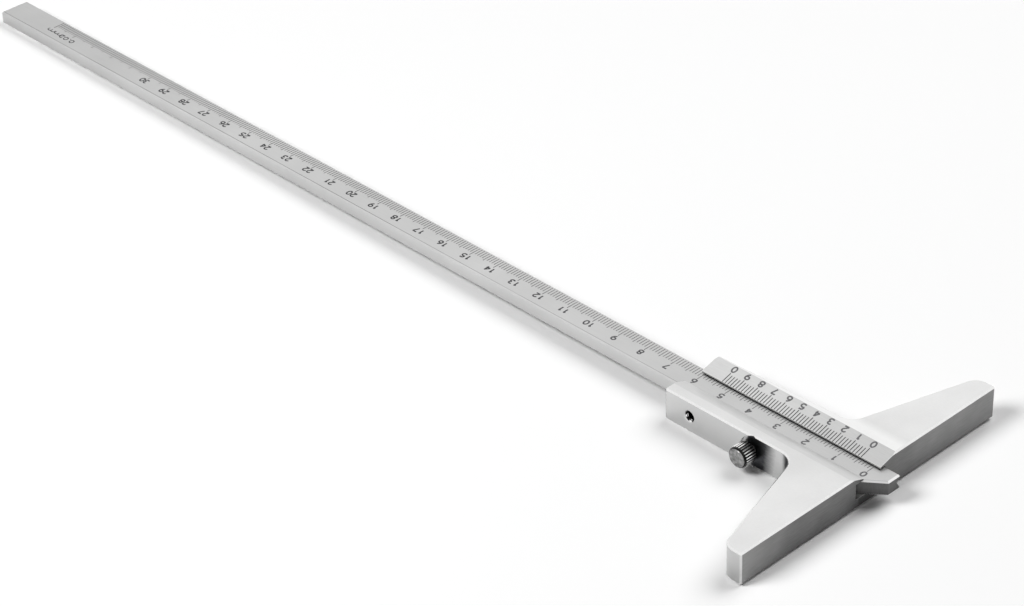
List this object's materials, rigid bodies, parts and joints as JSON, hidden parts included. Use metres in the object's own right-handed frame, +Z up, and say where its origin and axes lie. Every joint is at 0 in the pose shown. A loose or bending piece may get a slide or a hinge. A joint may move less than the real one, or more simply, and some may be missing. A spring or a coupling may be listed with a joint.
{
  "type": "vernier depth gauge",
  "caption": "T-base vernier depth gauge: a flat graduated beam slides through a one-piece base and slide, with a knurled clamp screw, a slotted set screw and an inner leaf spring.",
  "frame": {"origin": "bottom centre of the gauge's bounding box, with the beam at its rest reading of 5 mm", "axes": "+X along the beam towards its measuring tip, +Y across to the vernier side, +Z up from the underside towards the scales"},
  "size_m": [0.379, 0.1, 0.01],
  "materials": {
    "satin_steel": "satin chromed top, ground measuring face",
    "beam_steel": "finely ground along its length, satin",
    "spring_bronze": "rolled strip",
    "screw_steel": "turned and knurled, bright"
  },
  "bodies": {
    "base": {"base_frame": "satin_steel"},
    "beam": {"beam": "beam_steel"},
    "leaf_spring": {"leaf_spring": "spring_bronze"},
    "clamp_screw": {"clamp_screw": "screw_steel"},
    "grub_screw": {"grub_screw": "screw_steel"}
  },
  "joints": [
    {"name": "beam_slide", "type": "slide", "parent": "base", "child": "beam", "axis": [1, 0, 0], "range_m": [-0.005, 0.295]},
    {"name": "leaf_spring_press", "type": "slide", "parent": "base", "child": "leaf_spring", "axis": [0, 1, 0], "range_m": [-0.0001, 0.0002]},
    {"name": "clamp_screw_turn", "type": "hinge", "parent": "leaf_spring", "child": "clamp_screw", "pos_m": [0.1522, -0.0165, 0.005], "axis": [0, 1, 0], "range_deg": [-72, 144]},
    {"name": "grub_screw_turn", "type": "hinge", "parent": "base", "child": "grub_screw", "pos_m": [0.1305, -0.0108, 0.005], "axis": [0, 1, 0], "range_deg": [-90, 90]}
  ],
  "couplings": [
    {"joint": "clamp_screw_turn", "follows": "leaf_spring_press", "rad_per_m": 12566}
  ]
}
